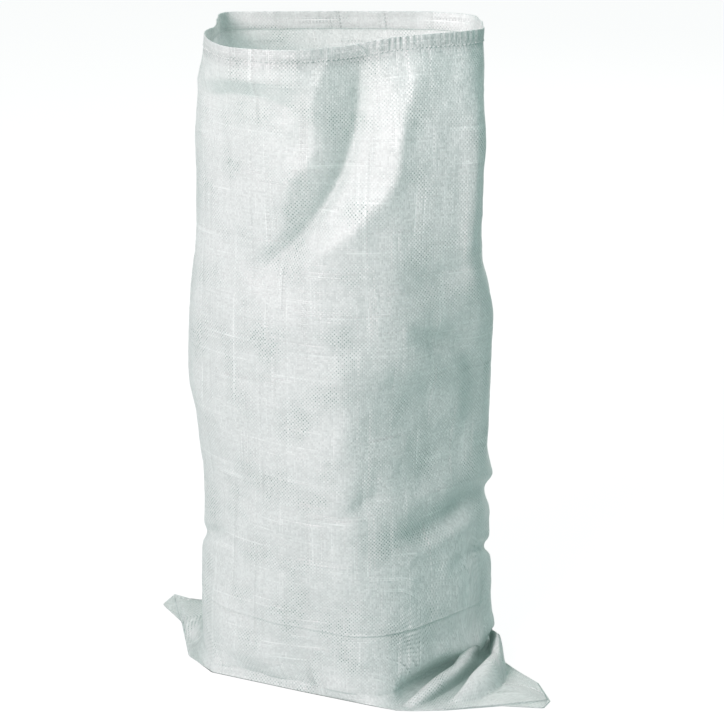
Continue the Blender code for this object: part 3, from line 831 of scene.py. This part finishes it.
def wovenPolypropylene():
    material = bpy.data.materials.new("woven polypropylene")
    material.use_nodes = True
    tree = material.node_tree
    shader = tree.nodes["Principled BSDF"]
    flat = addNode(tree, "ShaderNodeUVMap", settings={"uv_map": "flatCloth"})
    tape = weave["tape"] * mm

    # the cloth counted in tapes, the numbers of the warp and weft tape at each place, and
    # which of them is on top
    perTape = addNode(tree, "ShaderNodeVectorMath", flat, (1 / tape, 1 / tape, 0.0),
                      settings={"operation": "MULTIPLY"})
    parts = addNode(tree, "ShaderNodeSeparateXYZ", perTape).node.outputs
    numbers = [addNode(tree, "FLOOR", parts[axis]) for axis in "XY"]
    warpOver = addNode(tree, "MODULO", addNode(tree, "ADD", *numbers), 2.0)
    weftOver = addNode(tree, "SUBTRACT", 1.0, warpOver)
    onTop = (warpOver, weftOver)
    # how far each place is off the tapes' middle lines: -0.5 to 0.5, 0 to 1, and squared
    across = [addNode(tree, "SUBTRACT", addNode(tree, "FRACT", parts[axis]), 0.5) for axis in "XY"]
    off = [addNode(tree, "MULTIPLY", addNode(tree, "ABSOLUTE", place), 2.0) for place in across]
    squared = [addNode(tree, "MULTIPLY", place, place) for place in off]

    # the tape on top is rounded across and bowed along, and leans by its own draw, where a run
    # of it leans: pillow (1 - off^2.5) (1 - 0.6 along^2), lean draw^3 across run
    pillow = 0.0
    lean = 0.0
    paintedHighlightLines = 0.0
    tones = []
    for k, side in ((0, 1), (1, -1)):
        crown = addNode(tree, "SUBTRACT", 1.0, addNode(tree, "POWER", off[k], weave["roundness"]))
        bow = addNode(tree, "MULTIPLY", squared[1 - k], weave["bow"])
        crown = addNode(tree, "MULTIPLY", crown, addNode(tree, "SUBTRACT", 1.0, bow))
        pillow = addNode(tree, "MULTIPLY_ADD", crown, onTop[k], pillow)
        sizes = (*(1 / (size * mm) for size in weave["runs"][k]), 0.0)
        stretched = addNode(tree, "ShaderNodeVectorMath", flat, sizes,
                            settings={"operation": "MULTIPLY"})
        runs = addNode(tree, "SUBTRACT", addNode(tree, "ShaderNodeTexNoise", settings={
            "Scale": 1.0, "Detail": 1.0, "Vector": stretched}), 0.5)
        ownLean, ownHighlight, ownTone = (
            addNode(tree, "ShaderNodeTexWhiteNoise", settings={
                "noise_dimensions": "1D", "W": addNode(tree, "ADD", numbers[k], draw)})
            for draw in weave["draws"][k])
        tones.append(ownTone)
        leaning = addNode(tree, "ADD", runs, weave["leanShare"])
        leaning = addNode(tree, "MULTIPLY", leaning, weave["leanGain"])
        leaning = addNode(tree, "MAXIMUM", leaning, 0.0)
        leaning = addNode(tree, "MULTIPLY", leaning, across[k])
        leaning = addNode(tree, "MULTIPLY", leaning, side * weave["lean"] * tape)
        leaning = addNode(tree, "MULTIPLY", leaning,
                          addNode(tree, "POWER", ownLean, weave["leanPower"]))
        lean = addNode(tree, "MULTIPLY_ADD", leaning, onTop[k], lean)
        # painted highlight: a bright line along the middle of some tapes, in runs, added to the colour
        paintedHighlight = addNode(tree, "MULTIPLY", runs, weave["lineGain"])
        paintedHighlight = addNode(tree, "MAXIMUM", paintedHighlight, 0.0)
        paintedHighlight = addNode(tree, "MULTIPLY", paintedHighlight,
                          addNode(tree, "POWER", ownHighlight, weave["linePower"]))
        middle = addNode(tree, "SUBTRACT", 1.0, squared[k])
        paintedHighlightLines = addNode(tree, "MULTIPLY_ADD", paintedHighlight, middle, paintedHighlightLines)

    # each crossing has a draw of its own, which adds to the lean
    cell = addNode(tree, "ShaderNodeVectorMath", perTape, settings={"operation": "FLOOR"})
    crossing = addNode(tree, "ShaderNodeTexWhiteNoise", settings={
        "noise_dimensions": "2D", "Vector": cell})
    offCrossing = addNode(tree, "SUBTRACT", crossing, 0.5)
    cellLean = addNode(tree, "MULTIPLY", offCrossing, weave["cellLean"] * tape)
    lean = addNode(tree, "MULTIPLY_ADD", cellLean, across[0], lean)
    coarse, fine, patches = (
        addNode(tree, "SUBTRACT", addNode(tree, "ShaderNodeTexNoise", settings={
            "Scale": 1 / (size * mm), "Detail": detail, "Vector": flat}), 0.5)
        for size, detail in (*((size, 2.0) for size in weave["crinkles"]), (weave["patches"], 3.0)))
    crinkle = addNode(tree, "MULTIPLY_ADD", fine, weave["fineShare"], coarse)
    height = addNode(tree, "MULTIPLY_ADD", crinkle, weave["crinkle"] * mm, lean)
    height = addNode(tree, "MULTIPLY_ADD", pillow, weave["relief"] * mm, height)
    bump = addNode(tree, "ShaderNodeBump", settings={
        "Strength": 1.0, "Distance": 1.0, "Height": height})

    # how pale the cloth is: tones of the tapes, their bright lines, which are painted highlights, and
    # the crossings' sparkle
    place = addNode(tree, "ShaderNodeTexCoord", gives="Object")
    single = addNode(tree, "ShaderNodeMapRange", settings={
        "From Min": weave["hemFrom"] * mm, "From Max": (weave["hemFrom"] + weave["hemFade"]) * mm,
        "To Min": 1.0, "To Max": weave["hemDots"],
        "Value": addNode(tree, "ShaderNodeSeparateXYZ", place, gives="Z")})
    # painted light: the double hem is made paler
    level = addNode(tree, "MULTIPLY_ADD", single, -weave["hemPaintedPaler"], weave["paleness"])
    tones = addNode(tree, "SUBTRACT", addNode(tree, "ADD", *tones), 1.0)
    for part, share in ((tones, "streak"), (paintedHighlightLines, "line"), (offCrossing, "sparkle")):
        level = addNode(tree, "MULTIPLY_ADD", part, weave[share], level)
    white = addNode(tree, "ShaderNodeMix", gives=2, settings={
        "data_type": "RGBA", "blend_type": "MULTIPLY", "Factor": 1.0,
        6: linear(weave["colour"]), 7: level})

    # a dot at the middle of each weft tape on top, stronger in patches of the cloth: less glossy,
    # and painted darker towards a shade colour
    dot = addNode(tree, "MULTIPLY_ADD", patches, weave["patchGain"], weave["patchMiddle"])
    dot = addNode(tree, "MINIMUM", addNode(tree, "MAXIMUM", dot, weave["patchLeast"]), 1.0)
    own = addNode(tree, "MULTIPLY_ADD", crossing, weave["dotSpread"], weave["dotLeast"])
    offWarp = addNode(tree, "SUBTRACT", 1.0, off[0])
    offWeft = addNode(tree, "SUBTRACT", 1.0, squared[1])
    for part in (weftOver, offWarp, offWeft, single, own, weave["dot"]):
        dot = addNode(tree, "MULTIPLY", dot, part)
    toned = addNode(tree, "ShaderNodeMix", gives=2, settings={
        "data_type": "RGBA", "Factor": dot, 6: white, 7: linear(weave["dotShadeColour"])})

    # painted shade: the colour is darkened towards a teal shade colour in the folds, where the cloth
    # comes close to itself
    nearby = addNode(tree, "ShaderNodeAmbientOcclusion", gives="AO", settings={
        "samples": 6, "only_local": True, "Distance": weave["creaseReach"] * mm})
    clear = addNode(tree, "POWER", nearby, weave["creasePower"])
    paintedCreaseShade = addNode(tree, "MULTIPLY", addNode(tree, "SUBTRACT", 1.0, clear), weave["creaseShade"])
    withCreaseShade = addNode(tree, "ShaderNodeMix", gives=2, settings={
        "data_type": "RGBA", "Factor": paintedCreaseShade, 6: toned, 7: linear(weave["creaseShadeColour"])})

    tree.links.new(withCreaseShade, shader.inputs["Base Color"])
    gloss = addNode(tree, "MULTIPLY", addNode(tree, "SUBTRACT", 1.0, dot), weave["specular"])
    tree.links.new(gloss, shader.inputs["Specular IOR Level"])
    shader.inputs["Roughness"].default_value = weave["roughness"]
    tree.links.new(bump, shader.inputs["Normal"])
    through = addNode(tree, "ShaderNodeBsdfTranslucent", settings={
        "Color": linear(weave["glowColour"]), "Normal": bump})
    both = addNode(tree, "ShaderNodeMixShader", weave["glow"], shader.outputs["BSDF"], through)
    tree.links.new(both, tree.nodes["Material Output"].inputs["Surface"])
    return material


makeCamera()
makeLights()
makeFloor()
sack, around, wall, heights = buildSack()
sack.data.materials.append(wovenPolypropylene())
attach(sack, "root")
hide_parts("sack_body")
print("sack made")

mouthStitches = buildMouthStitches(around, wall, heights)
mouthStitches.data.materials.append(sewingThread())
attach(mouthStitches, "root")
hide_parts("mouth_hem_thread")

bottomStitches = buildBottomStitches()
bottomStitches.data.materials.append(mouthStitches.data.materials[0])
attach(bottomStitches, "root")
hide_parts("bottom_seam_thread")
print("stitches made")
